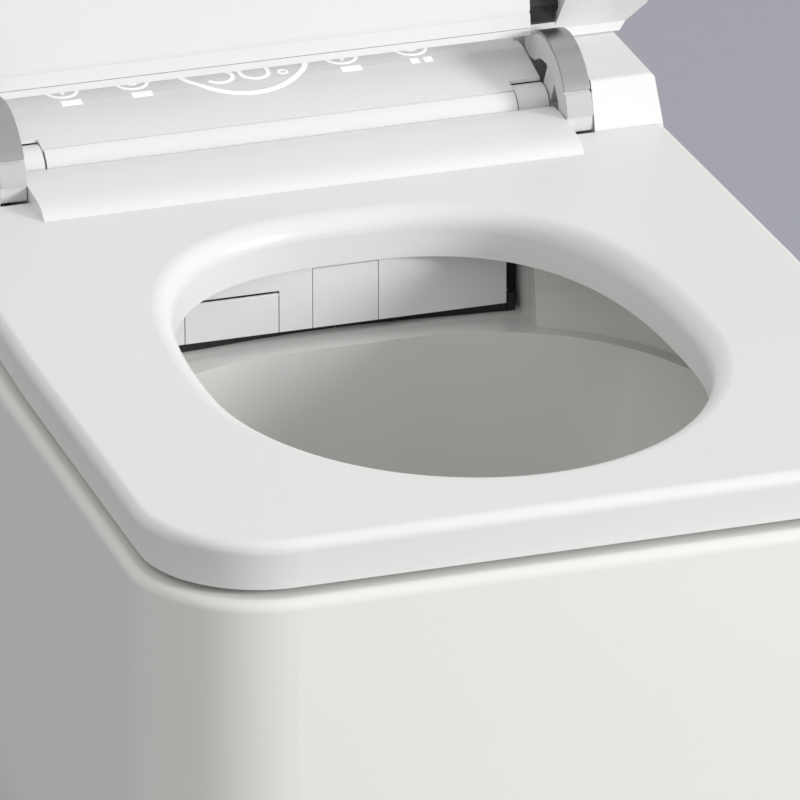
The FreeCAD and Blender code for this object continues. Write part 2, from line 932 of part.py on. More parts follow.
def make_lid_shell():
    """The outer shell of the lid, with a slanted wall that closes it beside each arm."""
    form = lid_slab(0, lid_skirt_rise, lid_height)
    top = edges_where(form, lambda p: near(p.z, hinge_z + lid_height))
    form = form.makeFillet(lid_edge_radius, top)
    shell = form.cut(lid_slab(lid_skin, lid_skirt_rise - over, lid_height - lid_skin))
    shell = shell.cut(lid_middle(0, lid_skirt_rise - over, lid_height + over))
    ends = lid_middle(lid_skin, lid_panel_rise, lid_height)
    ends = ends.cut(lid_middle(0, lid_panel_rise - over, lid_height + over))
    corners = [form.common(space) for space in cheek_clearance(lid_skin, 0)]
    shell = fuse([shell, form.common(ends)] + corners)
    shell = shell.cut(lid_middle(0, lid_skirt_rise - over, lid_height + over))
    for space in cheek_clearance(0, 0) + arm_slots(cheek_slant(lid_skin) + over):
        shell = shell.cut(space)
    return opened(shell)


def make_lid_panel():
    """The flat inner panel of the lid, with a shallow groove along its border."""
    low = lid_panel_rise
    high = lid_panel_rise + lid_panel_thickness
    panel = lid_slab(lid_skin + lid_panel_clearance, low, high)
    spaces = cheek_clearance(lid_skin + lid_panel_clearance, lid_panel_clearance)
    spaces += arm_slots(lid_arm_window_reach)
    spaces.append(lid_middle(lid_skin + lid_panel_clearance, low - over, high + over))
    for space in spaces:
        panel = panel.cut(space)
    groove = lid_slab(lid_skin + lid_panel_groove_inset, low - over, low + lid_panel_groove_depth)
    inner_inset = lid_skin + lid_panel_groove_inset + lid_panel_groove_width
    groove = groove.cut(lid_slab(inner_inset, low - over - over, high))
    return opened(panel.cut(groove))


def make_lid_bumpers():
    x = seat_half - lid_bumper_side_inset
    bumpers = []
    for share in lid_bumper_reach_shares:
        forward = share * reach(seat_front)
        foot = hinge_z - hinge_rise + lid_bumper_seat_clearance
        bumpers.append(rod_z(x, hinge_y - forward, foot, hinge_z + lid_panel_rise, lid_bumper_radius))
    return opened(Part.makeCompound(both_sides(bumpers)))


def make_lid_arm():
    """One hinge arm, bent round the hinge line, with a tang that lies inside the lid."""
    x0 = arm_inner
    x1 = arm_inner + arm_width
    outer = arm_radius - arm_trim_thickness
    inner = arm_radius - arm_band
    tang_low, tang_top = tang_rises()
    tang_start, _ = polar(inner, arm_end_angle)
    tang = [
        (tang_start, tang_low),
        (arm_tang_reach, tang_low),
        (arm_tang_reach, tang_top),
        (tang_start, tang_top),
    ]
    knee_low = polar(inner, arm_end_angle)
    knee_high = polar(outer, arm_end_angle)
    knee = [knee_low, knee_high, (arm_radius, tang_low), (arm_radius, tang_top), (tang_start, tang_top)]
    middle = (arm_start_angle + arm_end_angle) / 2
    spoke_front = hinge_y - inner - glue_gap
    spoke = box(x0, x1, spoke_front, hinge_y, hinge_z - arm_spoke / 2, hinge_z + arm_spoke / 2)
    spoke.rotate(at_hinge(0, 0), vec(1, 0, 0), -middle)
    arm = fuse([
        sector(inner, outer, arm_start_angle, arm_end_angle, x0, x1),
        hinge_rod(x0, x1, arm_eye_radius),
        spoke,
        prism_x(knee, x0, x1),
        prism_x(tang, x0, x1),
    ])
    arm = arm.cut(hinge_rod(x0 - over, x1 + over, shaft_radius + shaft_clearance))
    return opened(arm)


def make_arm_clamps():
    """The plates between the inner panel and the tangs, seen as dark slots round the arms."""
    tang_low, _ = tang_rises()
    low = lid_panel_rise + lid_panel_thickness + glue_gap
    high = tang_low - glue_gap
    outline = [
        (arm_clamp_reach, low),
        (arm_tang_reach, low),
        (arm_tang_reach, high),
        (arm_clamp_reach, high),
    ]
    margin = lid_arm_slot_gap + arm_clamp_margin
    plate = prism_x(outline, arm_inner - margin, arm_inner + arm_width + margin)
    return opened(Part.makeCompound(both_sides([plate])))


def make_arm_strip(start, end, thickness):
    """A bright strip on the outside of an arm, between two angles."""
    inner = arm_radius - arm_trim_thickness + glue_gap
    return opened(sector(inner, inner + thickness, start, end, arm_inner, arm_inner + arm_width))


save("lid_shell", make_lid_shell())
save("lid_inner_panel", make_lid_panel())
save("lid_bumpers", make_lid_bumpers())
save("arm_clamps", make_arm_clamps())
right_arm = make_lid_arm()
right_trim = make_arm_strip(trim_start_angle, trim_end_angle, arm_trim_thickness - glue_gap)
right_cap = make_arm_strip(cap_start_angle, cap_end_angle, cap_thickness)
for name, shape in (("lid_arm", right_arm), ("arm_trim", right_trim), ("arm_cap", right_cap)):
    save(f"{name}_right", shape)
    save(f"{name}_left", mirrored(shape))


def make_top_cover():
    """The moulded housing: a cheek at each end, a sloped display panel, open below and in front."""
    base = rim_z + cover_rim_clearance - hinge_z
    back = reach(-cover_from_wall)
    cheek = prism_x(
        [
            (cheek_reach, base),
            (cheek_reach, -hinge_rise),
            (cheek_reach - cheek_lean, cheek_rise),
            (back, cheek_rise),
            (back, base),
        ],
        cheek_inner,
        cover_half_width,
    )
    crest = hinge_z + cheek_rise
    foot = rim_z + cover_rim_clearance
    end_face = [
        vec(cheek_inner, 0, foot),
        vec(cover_half_width, 0, foot),
        vec(cover_half_width - cheek_top_inset, 0, crest),
        vec(cheek_inner, 0, crest),
    ]
    end_form = Part.Face(Part.makePolygon(end_face + end_face[:1])).extrude(vec(0, -pan_depth, 0))
    cheek = cheek.common(end_form)
    top_edges = edges_where(cheek, lambda p: near(p.z, crest) and p.x > cheek_inner + same_place)
    crest_y = hinge_y - cheek_reach + cheek_lean
    front_edges = edges_where(cheek, lambda p: near(p.z, crest) and near(p.y, crest_y))
    cheek = cheek.makeFillet(cover_edge_radius, top_edges + front_edges)
    panel = [
        (panel_front_reach, base),
        (panel_front_reach, panel_front_rise),
        (-panel_back_reach, panel_back_rise),
        (back, cheek_rise),
        (back, base),
    ]
    bridge = [(-arm_slot_reach, base), (-arm_slot_reach, cheek_rise), (back, cheek_rise), (back, base)]
    outside = fuse(
        both_sides([cheek, prism_x(bridge, panel_half_width - over, cheek_inner)])
        + [prism_x(panel, -panel_half_width, panel_half_width)]
    )

    low = base - over
    inner_back = back + cover_wall
    cheek_room = [
        (cheek_reach - cover_wall, low),
        (cheek_reach - cover_wall, -hinge_rise),
        (cheek_reach - cheek_lean - cover_wall, cheek_rise - cover_wall),
        (inner_back, cheek_rise - cover_wall),
        (inner_back, low),
    ]
    panel_room = [
        (panel_front_reach + over, low),
        (panel_front_reach + over, panel_front_rise - cover_wall),
        (-panel_back_reach, panel_back_rise - cover_wall),
        (inner_back, cheek_rise - cover_wall),
        (inner_back, low),
    ]
    bridge_room = [
        (-arm_slot_reach - cover_wall, low),
        (-arm_slot_reach - cover_wall, panel_back_rise - cover_wall),
        (inner_back, panel_back_rise - cover_wall),
        (inner_back, low),
    ]
    inner_half = cover_half_width - cheek_top_inset - cover_wall
    panel_inner = panel_half_width - cover_wall
    rooms = both_sides([prism_x(cheek_room, cheek_inner + cover_wall, inner_half)])
    rooms += [prism_x(panel_room, -panel_inner, panel_inner), prism_x(bridge_room, -inner_half, inner_half)]
    lug_room = [
        (-lug_notch_back, low),
        (panel_front_reach + over, low),
        (panel_front_reach + over, cheek_rise),
        (-lug_notch_back, cheek_rise),
    ]
    shaft_half = shaft_radius + cover_shaft_gap
    shaft_way = [(-shaft_half, low), (shaft_half, low), (shaft_half, 0), (-shaft_half, 0)]
    wall_end = cheek_inner + cover_wall + over
    openings = both_sides([
        hinge_rod(lug_notch_inner, panel_half_width + over, lug_notch_radius),
        prism_x(lug_room, lug_notch_inner, panel_half_width + over),
        prism_x(shaft_way, cheek_inner - over, wall_end),
        hinge_rod(cheek_inner - over, wall_end, shaft_half),
        rod_y(
            service_slot_offset,
            -cover_from_wall - cover_wall - over,
            over,
            service_z,
            supply_flange_radius + supply_clearance,
        ),
    ])
    cover = outside
    for space in rooms + openings:
        cover = cover.cut(space)
    posts = []
    for forward in (display_front_reach + display_post_inset, display_back_reach - display_post_inset):
        low_end = hinge_z + panel_back_rise - cover_wall - display_post_height
        posts.append(rod_z(
            display_half_width - display_post_inset,
            hinge_y + forward,
            low_end,
            hinge_z + panel_back_rise - cover_wall / 2,
            display_post_radius,
        ))
    return fuse([cover] + both_sides(posts))


def make_front_fascia():
    """The rounded strip under the display panel, with a wall down to the tray."""
    inner = fascia_radius - fascia_wall
    crown = sector(inner, fascia_radius, 0, fascia_top_angle, -fascia_half_width, fascia_half_width)
    foot = tray_z - hinge_z
    wall = prism_x(
        [(inner, foot), (fascia_radius, foot), (fascia_radius, 0), (inner, 0)],
        -fascia_half_width,
        fascia_half_width,
    )
    gap = nozzle_half + fascia_seam
    way = box(-gap, gap, hinge_y - fascia_radius - over, hinge_y, tray_z - over, nozzle_top_z + fascia_seam)
    return fuse([crown, wall]).cut(way)


def make_base_tray():
    """The tray that carries the unit, with a tongue under the nozzles and the hinge pedestals."""
    floor = box(-tray_half, tray_half, tray_front, tray_back, deck_z, tray_z)
    rim_top = deck_z + tray_wall_height
    walls = box(-tray_half, tray_half, tray_front, tray_back, deck_z, rim_top)
    walls = walls.cut(box(
        -tray_half + tray_wall,
        tray_half - tray_wall,
        tray_front + tray_wall,
        tray_back - tray_wall,
        deck_z - over,
        rim_top + over,
    ))
    walls = walls.cut(box(
        -tongue_half,
        tongue_half,
        tray_front - over,
        tray_front + tray_wall + over,
        tray_z,
        rim_top + over,
    ))
    tongue = box(-tongue_half, tongue_half, -tongue_front_from_wall, tray_front, deck_z, tray_z)
    foot = tray_z - hinge_z
    outline = [(-pedestal_foot, foot), (pedestal_radius, foot), (pedestal_radius, 0), (-pedestal_radius, 0)]
    pedestals = []
    for x in (shaft_inner, cheek_inner + cover_wall + cover_shaft_gap):
        plate = fuse([
            prism_x(outline, x, x + pedestal_width),
            hinge_rod(x, x + pedestal_width, pedestal_radius),
        ])
        bore = hinge_rod(x - over, x + pedestal_width + over, shaft_radius + shaft_clearance)
        pedestals.append(plate.cut(bore))
    posts = [rod_z(x, y, tray_z, tray_z + board_post_height, board_post_radius) for x, y in board_posts()]
    pad = box(
        motor_x,
        motor_x + motor_length,
        -motor_from_wall - motor_radius / 2,
        -motor_from_wall + motor_radius / 2,
        tray_z,
        tray_z + motor_pad,
    )
    tray = fuse([floor, walls, tongue, pad] + both_sides(pedestals) + posts)
    tray = tray.cut(wand_motor_body(glue_gap))
    service = [
        rod_y(service_slot_offset, tray_back - tray_wall - over, tray_back + over, service_z,
              supply_neck_radius + supply_clearance),
        rod_y(-service_slot_offset, tray_back - tray_wall - over, tray_back + over, service_z,
              gland_radius + supply_clearance),
    ]
    bolt_holes = [
        rod_z(x, -tray_bolt_from_wall, deck_z - over, tray_z + over, tray_bolt_radius + tray_bolt_clearance)
        for x in (-tray_bolt_x, tray_bolt_x)
    ]
    for hole in service + bolt_holes:
        tray = tray.cut(hole)
    return tray


def make_tray_bolts():
    bolts = []
    for x in (-tray_bolt_x, tray_bolt_x):
        shank = rod_z(x, -tray_bolt_from_wall, deck_z - tray_bolt_depth, tray_z, tray_bolt_radius)
        head = rod_z(x, -tray_bolt_from_wall, tray_z, tray_z + tray_bolt_head_height, tray_bolt_head_radius)
        bolts.append(fuse([shank, head]))
    return Part.makeCompound(bolts)


def make_hinge_shaft():
    return hinge_rod(shaft_inner, shaft_outer, shaft_radius)


def make_damper():
    start = shaft_outer + damper_gap
    return hinge_rod(start, start + damper_length, damper_radius)


def board_posts():
    """Places of the posts under the control board."""
    across = board_width / 2 - board_post_inset
    along = board_depth / 2 - board_post_inset
    return [(board_x + sx * across, -board_from_wall + sy * along) for sx in (-1, 1) for sy in (-1, 1)]


def wand_motor_body(growth):
    z = tray_z + motor_pad + motor_radius - motor_sink
    x0 = motor_x - growth
    x1 = motor_x + motor_length + growth
    return rod_x(x0, x1, -motor_from_wall, z, motor_radius + growth)


save("top_cover", make_top_cover())
save("front_fascia", make_front_fascia())
save("base_tray", make_base_tray())
save("tray_bolts", make_tray_bolts())
right_shaft = make_hinge_shaft()
right_damper = make_damper()
save("hinge_shaft_right", right_shaft)
save("hinge_shaft_left", mirrored(right_shaft))
save("seat_damper", right_damper)
save("lid_damper", mirrored(right_damper))
save("wand_motor", wand_motor_body(0))


def wand_direction():
    """The way the wand comes out: forward and a little down."""
    turn = math.radians(wand_slope)
    return vec(0, -math.cos(turn), -math.sin(turn))


def wand_rod(radius, front_run, back_run):
    """A rod on the wand's line, from a run in front of the panel's back to a run behind it."""
    way = wand_direction()
    start = vec(gate_x, panel_back_y, wand_z) + way * front_run
    return Part.makeCylinder(radius, front_run + back_run, start, -way)


def gate_box(growth, y0, y1):
    half = gate_width / 2 + growth
    top = panel_foot_z + gate_height + growth
    return box(gate_x - half, gate_x + half, y0, y1, panel_foot_z - growth, top)


def flap_axis():
    """The flap turns about the middle of its rounded top edge, given as (y, z)."""
    return nozzle_front + flap_thickness / 2, panel_foot_z + flap_height - flap_thickness / 2


def make_nozzle_panel():
    panel = box(
        -nozzle_half,
        nozzle_half,
        nozzle_front,
        panel_back_y,
        panel_foot_z,
        nozzle_top_z,
    )
    flap_right = flap_left + flap_width
    flap_hole = box(
        flap_left - flap_clearance,
        flap_right + flap_clearance,
        nozzle_front - over,
        panel_back_y + over,
        panel_foot_z - flap_clearance,
        panel_foot_z + flap_height + flap_top_gap,
    )
    y, z = flap_axis()
    reach_out = flap_pin_length + flap_pin_clearance
    hole_radius = flap_pin_radius + flap_pin_clearance
    pin_hole = rod_x(flap_left - reach_out, flap_right + reach_out, y, z, hole_radius)
    for hole in (gate_box(gate_clearance, nozzle_front - over, panel_back_y + over), flap_hole, pin_hole):
        panel = panel.cut(hole)
    return panel


def make_nozzle_seal():
    """The dark seals that fill the notch beside and partly under the nozzle unit."""
    y0 = nozzle_front + seal_setback
    y1 = y0 + seal_depth
    outer = notch_half - seal_clearance
    side = tongue_half + glue_gap
    inner = flush_slot_width / 2 + over
    foot = notch_z + seal_clearance
    upright = box(side, outer, y0, y1, foot, seat_under_z - seal_top_gap)
    ledge = box(inner, outer, y0, y1, foot, deck_z - glue_gap)
    return Part.makeCompound(both_sides([fuse([upright, ledge])]))


def make_dryer_flap():
    y, z = flap_axis()
    flap_right = flap_left + flap_width
    plate = box(flap_left, flap_right, nozzle_front, nozzle_front + flap_thickness, panel_foot_z, z)
    edge = rod_x(flap_left, flap_right, y, z, flap_thickness / 2)
    pins = rod_x(flap_left - flap_pin_length, flap_right + flap_pin_length, y, z, flap_pin_radius)
    return fuse([plate, edge, pins])


def make_nozzle_case():
    half = nozzle_half
    case = box(-half, half, panel_back_y, -nozzle_case_from_wall, tray_z, nozzle_top_z)
    return case.cut(box(
        -half + nozzle_case_wall,
        half - nozzle_case_wall,
        panel_back_y - over,
        -nozzle_case_from_wall + over,
        tray_z - over,
        nozzle_top_z - nozzle_case_wall,
    ))


def make_nozzle_wand():
    """The spray wand: a bored rod, cut flat where the gate is fixed to it, with spray holes on top."""
    wand = wand_rod(wand_radius, over, wand_length)
    wand = wand.cut(gate_box(wand_radius, panel_back_y - over - over, panel_back_y))
    wand = wand.cut(wand_rod(wand_bore_radius, -wand_hole_setback / 2, wand_length + over))
    way = wand_direction()
    for row in range(wand_hole_rows):
        run = wand_hole_setback + row * wand_hole_pitch
        foot = vec(gate_x, panel_back_y, wand_z) - way * run
        wand = wand.cut(Part.makeCylinder(wand_hole_radius, wand_radius + over, foot, vec(0, 0, 1)))
    return wand


def make_wand_guide():
    half = wand_radius + guide_wall
    front = panel_back_y + guide_setback
    back = front + guide_length
    rise = (back - panel_back_y) * math.tan(math.radians(wand_slope))
    block = box(gate_x - half, gate_x + half, front, back, tray_z, wand_z + rise + half)
    return block.cut(wand_rod(wand_radius + guide_clearance, over, wand_length))


def spout_box(growth, y0, y1):
    half = blower_spout_width / 2 + growth
    low = tray_z + blower_wall - growth
    return box(blower_x - half, blower_x + half, y0, y1, low, low + blower_spout_height + 2 * growth)


def make_dryer_duct():
    """The square air duct from the blower to the flap, open in front, with a port behind."""
    top = nozzle_top_z - nozzle_case_wall - duct_top_gap
    back = -duct_back_from_wall
    duct = box(flap_left, flap_left + flap_width, panel_back_y, back, tray_z, top)
    duct = duct.cut(box(
        flap_left + duct_wall,
        flap_left + flap_width - duct_wall,
        panel_back_y - over,
        back - duct_wall,
        tray_z + duct_wall,
        top - duct_wall,
    ))
    return duct.cut(spout_box(duct_port_gap, back - duct_wall - over, back + over))


def make_blower_housing():
    """A round blower casing with an air eye on top, a spout in front and the impeller's pin."""
    y = -blower_from_wall
    top = tray_z + blower_height
    tip = -duct_back_from_wall - duct_wall
    casing = fuse([
        rod_z(blower_x, y, tray_z, top, blower_radius),
        spout_box(0, tip, y),
    ])
    inner = blower_radius - blower_wall
    casing = casing.cut(rod_z(blower_x, y, tray_z + blower_wall, top - blower_wall, inner))
    casing = casing.cut(spout_box(-blower_wall, tip - over, y))
    casing = casing.cut(rod_z(blower_x, y, top - blower_wall - over, top + over, blower_eye_radius))
    pin_top = tray_z + blower_wall + impeller_lift + impeller_height
    pin = rod_z(blower_x, y, tray_z + blower_wall / 2, pin_top, impeller_pin_radius)
    return fuse([casing, pin])


def make_blower_impeller():
    y = -blower_from_wall
    low = tray_z + blower_wall + impeller_lift
    disc = rod_z(blower_x, y, low, low + impeller_disc, impeller_radius)
    hub = rod_z(blower_x, y, low, low + impeller_height, impeller_hub_radius)
    vane = box(
        blower_x + impeller_pin_radius + impeller_vane_thickness,
        blower_x + impeller_radius - impeller_vane_thickness,
        y - impeller_vane_thickness / 2,
        y + impeller_vane_thickness / 2,
        low,
        low + impeller_height,
    )
    vanes = []
    for count in range(impeller_vanes):
        turned = vane.copy()
        turned.rotate(vec(blower_x, y, 0), vec(0, 0, 1), 360 * count / impeller_vanes)
        vanes.append(turned)
    wheel = fuse([disc, hub] + vanes)
    bore_radius = impeller_pin_radius + impeller_clearance
    bore = rod_z(blower_x, y, low - over, low + impeller_height + over, bore_radius)
    return wheel.cut(bore)


def make_water_heater():
    y = -heater_from_wall
    x0 = heater_x - heater_width / 2
    x1 = heater_x + heater_width / 2
    body = box(x0, x1, y - heater_depth / 2, y + heater_depth / 2, tray_z, tray_z + heater_height)
    rim = edges_where(body, lambda p: p.z > tray_z + same_place)
    body = body.makeFillet(heater_edge_radius, rim)
    top = tray_z + heater_height
    inset = heater_width * heater_port_share
    ports = [
        rod_z(x, y, top - heater_edge_radius, top + heater_port_length, heater_port_radius)
        for x in (x0 + inset, x1 - inset)
    ]
    return fuse([body] + ports)


def make_inlet_valve():
    y = -valve_from_wall
    x0 = service_slot_offset - valve_width / 2
    x1 = service_slot_offset + valve_width / 2
    top = tray_z + valve_height
    body = box(x0, x1, y - valve_depth / 2, y + valve_depth / 2, tray_z, top)
    rim = edges_where(body, lambda p: p.z > tray_z + same_place)
    body = body.makeFillet(valve_edge_radius, rim)
    coil_foot = top - valve_edge_radius
    coil = rod_z(service_slot_offset, y, coil_foot, top + valve_coil_height, valve_coil_radius)
    return fuse([body, coil])


def make_water_inlet():
    """The supply nipple behind the inlet valve, pointing at the wall, smooth where its thread would be."""
    x = service_slot_offset
    start = -valve_from_wall + valve_depth / 2
    nipple = fuse([
        rod_y(x, start, tray_back, service_z, supply_neck_radius),
        rod_y(x, tray_back, -supply_end_from_wall, service_z, supply_radius),
        rod_y(x, start, start + supply_flange_thickness, service_z, supply_flange_radius),
    ])
    return nipple.cut(rod_y(x, start - over, over, service_z, supply_bore_radius))


def make_power_gland():
    x = -service_slot_offset
    inside = tray_back - tray_wall
    start = inside - gland_flange_thickness
    gland = fuse([
        rod_y(x, start, -gland_end_from_wall, service_z, gland_radius),
        rod_y(x, start, inside, service_z, gland_flange_radius),
    ])
    return gland.cut(rod_y(x, start - over, over, service_z, gland_bore_radius))


def make_control_board():
    y = -board_from_wall
    low = tray_z + board_post_height
    top = low + board_thickness
    pieces = [box(
        board_x - board_width / 2,
        board_x + board_width / 2,
        y - board_depth / 2,
        y + board_depth / 2,
        low,
        top,
    )]
    for count in range(relay_count):
        x = board_x - board_width / 2 + relay_size + count * relay_pitch
        pieces.append(box(x, x + relay_size, y, y + relay_size, top, top + relay_height))
    x = board_x + board_width * capacitor_share
    pieces.append(rod_z(x, y, top, top + capacitor_height, capacitor_radius))
    return fuse(pieces)


def make_display_board():
    top = hinge_z + panel_back_rise - cover_wall - display_post_height
    return box(
        -display_half_width,
        display_half_width,
        hinge_y + display_front_reach,
        hinge_y + display_back_reach,
        top - display_thickness,
        top,
    )


save("nozzle_panel", make_nozzle_panel())
save("nozzle_seal", make_nozzle_seal())
save("dryer_flap", make_dryer_flap())
save("nozzle_case", make_nozzle_case())
save("nozzle_wand", make_nozzle_wand())
save("nozzle_gate", gate_box(0, nozzle_front, panel_back_y))
save("wand_guide", make_wand_guide())
save("dryer_duct", make_dryer_duct())
save("blower_housing", make_blower_housing())
save("blower_impeller", make_blower_impeller())
save("water_heater", make_water_heater())
save("inlet_valve", make_inlet_valve())
save("water_inlet", make_water_inlet())
save("power_gland", make_power_gland())
save("control_board", make_control_board())
save("display_board", make_display_board())
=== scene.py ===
import json
import math

import bmesh
import bpy
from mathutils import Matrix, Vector


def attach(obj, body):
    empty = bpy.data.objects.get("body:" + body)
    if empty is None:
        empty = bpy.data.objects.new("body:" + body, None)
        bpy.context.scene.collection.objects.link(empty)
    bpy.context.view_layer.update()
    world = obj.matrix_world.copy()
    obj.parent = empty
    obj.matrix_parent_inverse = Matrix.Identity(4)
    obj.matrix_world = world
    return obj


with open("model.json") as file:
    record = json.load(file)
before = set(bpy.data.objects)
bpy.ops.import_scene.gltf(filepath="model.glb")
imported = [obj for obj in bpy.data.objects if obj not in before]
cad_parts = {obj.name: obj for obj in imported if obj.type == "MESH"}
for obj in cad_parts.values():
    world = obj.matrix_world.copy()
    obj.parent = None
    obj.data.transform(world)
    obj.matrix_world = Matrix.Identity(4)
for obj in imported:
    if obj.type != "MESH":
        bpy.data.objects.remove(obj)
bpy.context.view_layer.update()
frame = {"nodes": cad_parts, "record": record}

nodes = frame["nodes"]

# Lengths are in metres, in the part's own frame: +Z up, -Y forward out of the wall.

# The photograph's camera: its direction and distance from a point over the bowl, and that point's pixel
LOOK_AT = Vector((0.0, -0.365, 0.131))
LOOK_AT_PIXEL = (437.4, 333.1)
AZIMUTH = math.radians(18.373)
ELEVATION = math.radians(23.438)
DISTANCE = 5.0
FOCAL_PIXELS = 10650.0
FRAME_PIXELS = 800.0
SENSOR_MM = 36.0

# The part of a noise's range that colours and numbers follow, and the grain of plain surfaces
COLOUR_BAND = (0.35, 0.65)
NUMBER_BAND = (0.3, 0.7)
DRIFT_DETAIL = 3.0
GRAIN_STRENGTH = 0.2
GRAIN_DEPTH = 0.00002

# Glaze: its own tone outside the bowl and a greyer tone of painted shade inside it, its slow waves, and
# where the bowl lies, which the painted shade fills
GLAZE_OUTSIDE = (0.83, 0.83, 0.815)
GLAZE_PAINTED_SHADE = (0.72, 0.715, 0.705)
GLAZE_CHANGE = 0.02
GLAZE_CLOUD = 5.0
GLAZE_WAVE = 9.0
GLAZE_WAVE_DETAIL = 1.0
GLAZE_ROUGH = (0.2, 0.26)
GLAZE_STRENGTH = 0.1
GLAZE_DEPTH = 0.0004
GLAZE_COAT = 0.2
GLAZE_COAT_ROUGH = 0.1
BOWL_MIDDLE = (0.0, -0.382)
BOWL_HALVES = (0.166, 0.164)
BOWL_POWER = 3.2
BOWL_EDGE = (1.06, 1.0)
RIM_EDGE = (0.103, 0.091)

# Lid arms: black painted behind and above these places, which lie in the lid's slot, as painted shade of
# the slot
ARM_LIGHT = (0.7, 0.7, 0.7)
ARM_CHANGE = 0.05
ARM_CLOUD = 4.0
ARM_GRAIN = 800.0
ARM_ROUGH = (0.35, 0.5)
ARM_SLOT_SHADE_Y = -0.1012
ARM_SLOT_SHADE_Z = 0.166

WHITE = (0.84, 0.84, 0.835)
BLACK = (0.012, 0.012, 0.012)

# The housing's display panel as Y and Z, as in the part's source, and the signs printed on it, with a
# painted glow
PANEL_FRONT = (-0.119, 0.1438)
PANEL_BREAK = (-0.0855, 0.152)
PANEL_BACK = (-0.014, 0.155)

SIGN_DIM = (0.86, 0.86, 0.87)
SIGN_BRIGHT = (0.95, 0.95, 0.96)
SIGN_CLOUD = 400.0
SIGN_PAINTED_GLOW = 0.35
SIGN_ROUGH = 0.4
SIGN_LIFT = 0.00025
SIGN_SINK = 0.0002
ARC_STEPS = 28

DIAL_X = -0.0045
DIAL_Y = -0.0614
DIAL_RADIUS = 0.0345
DIAL_LINE = 0.0026
DIAL_STEPS = 96

DIGIT_FOOT = -0.0846
DIGIT_WIDTH = 0.014
DIGIT_LINE = 0.002
THREE_X = -0.0183
THREE_ARCS = ((-150, 90), (-90, 150))
NOUGHT_X = 0.0001
DEGREE_X = 0.0138
DEGREE_RISE = 0.004
DEGREE_RADIUS = 0.0022
DEGREE_LINE = 0.001
DEGREE_STEPS = 20

SIGN_Y = -0.0861
SIGN_LINE = 0.0017
SIGN_BAR = 0.0042
SIGN_SHIFT = -0.0014
SIGN_RISE = 0.0143
SIGN_RADIUS = 0.0078
SIGN_ARC = (190, 350)
NEEDLE_HALF = 0.004
EYE_RADIUS = 0.0026
EYE_LINE = 0.00136
EYE_STEPS = 24
WHOLE_BAR = ((-0.0052, 0.0052),)
SPLIT_BAR = ((-0.0056, -0.0012), (0.0012, 0.0056))
SIGN_LIST = (
    (-0.096, WHOLE_BAR, "needle"),
    (-0.06, WHOLE_BAR, "eye"),
    (0.0478, WHOLE_BAR, "needle"),
    (0.084, SPLIT_BAR, "eye"),
)

# Rubber sills in the gap under the nozzle panel, on the right, put there as painted shade for the gap's
# dark shadow; the left ones mirror them
SILL_LOW = 0.0693
SILL_HIGH = 0.0733
SILL_BACK = -0.2072
SILL_FRONT = ((0.0003, -0.208), (0.016, -0.2082), (0.04, -0.2097), (0.066, -0.2125), (0.0852, -0.2142))
SILL_END = ((0.0854, -0.2146), (0.0897, -0.2124))
SILL_END_HIGH = 0.079
SILL_BEVEL = 0.00015

# Stage: the floor's tone as it is seen and in the light that it throws back, the key lamp and the sky
FLOOR_Z = -0.32
FLOOR_HALF = 30.0
FLOOR_SEEN = (0.402, 0.406, 0.464)
FLOOR_CAST = (0.39, 0.386, 0.376)
FLOOR_CHANGE = 0.02
FLOOR_CLOUD = 0.5
FLOOR_GRAIN = 60.0
FLOOR_ROUGH = (0.7, 0.8)
KEY_AIM = (0.0, -0.3, 0.1)
KEY_PLACE = (3.104, -3.297, 1.378)
KEY_SIZE = 1.2
KEY_POWER = 134.0
SKY_COLOUR = (1.0, 0.997, 0.985)
SKY_HORIZON = 0.46
SKY_ZENITH = 0.87


# Materials

def new_material(name):
    material = bpy.data.materials.new(name)
    material.use_nodes = True
    tree = material.node_tree
    tree.nodes.clear()
    output = tree.nodes.new("ShaderNodeOutputMaterial")
    shader = tree.nodes.new("ShaderNodeBsdfPrincipled")
    tree.links.new(shader.outputs["BSDF"], output.inputs["Surface"])
    return material, tree, shader


def axes(tree, coordinates):
    """X, Y and Z of one kind of texture coordinates."""
    place = tree.nodes.new("ShaderNodeTexCoord")
    split = tree.nodes.new("ShaderNodeSeparateXYZ")
    tree.links.new(place.outputs[coordinates], split.inputs["Vector"])
    return split.outputs


def noise(tree, scale, detail=2.0, stretch=(1, 1, 1)):
    """Noise over the part's own metres."""
    place = tree.nodes.new("ShaderNodeTexCoord")
    mapping = tree.nodes.new("ShaderNodeMapping")
    mapping.inputs["Scale"].default_value = stretch
    tree.links.new(place.outputs["Object"], mapping.inputs["Vector"])
    texture = tree.nodes.new("ShaderNodeTexNoise")
    texture.inputs["Scale"].default_value = scale
    texture.inputs["Detail"].default_value = detail
    tree.links.new(mapping.outputs["Vector"], texture.inputs["Vector"])
    return texture.outputs["Fac"]


def arithmetic(tree, operation, first, second):
    """One step of arithmetic on numbers and nodes' outputs."""
    node = tree.nodes.new("ShaderNodeMath")
    node.operation = operation
    for socket, value in zip(node.inputs, (first, second)):
        if isinstance(value, float):
            socket.default_value = value
        else:
            tree.links.new(value, socket)
    return node.outputs["Value"]


def spread(tree, value, start, end, low=0.0, high=1.0):
    """A number that goes from low to high while a value goes from start to end."""
    node = tree.nodes.new("ShaderNodeMapRange")
    node.inputs["From Min"].default_value = start
    node.inputs["From Max"].default_value = end
    node.inputs["To Min"].default_value = low
    node.inputs["To Max"].default_value = high
    tree.links.new(value, node.inputs["Value"])
    return node.outputs["Result"]


def ramp(tree, factor, low, high):
    """A colour between low and high by a noise."""
    blend = tree.nodes.new("ShaderNodeValToRGB")
    for element, position, colour in zip(blend.color_ramp.elements, COLOUR_BAND, (low, high)):
        element.position = position
        element.color = (*colour, 1)
    tree.links.new(factor, blend.inputs["Fac"])
    return blend.outputs["Color"]


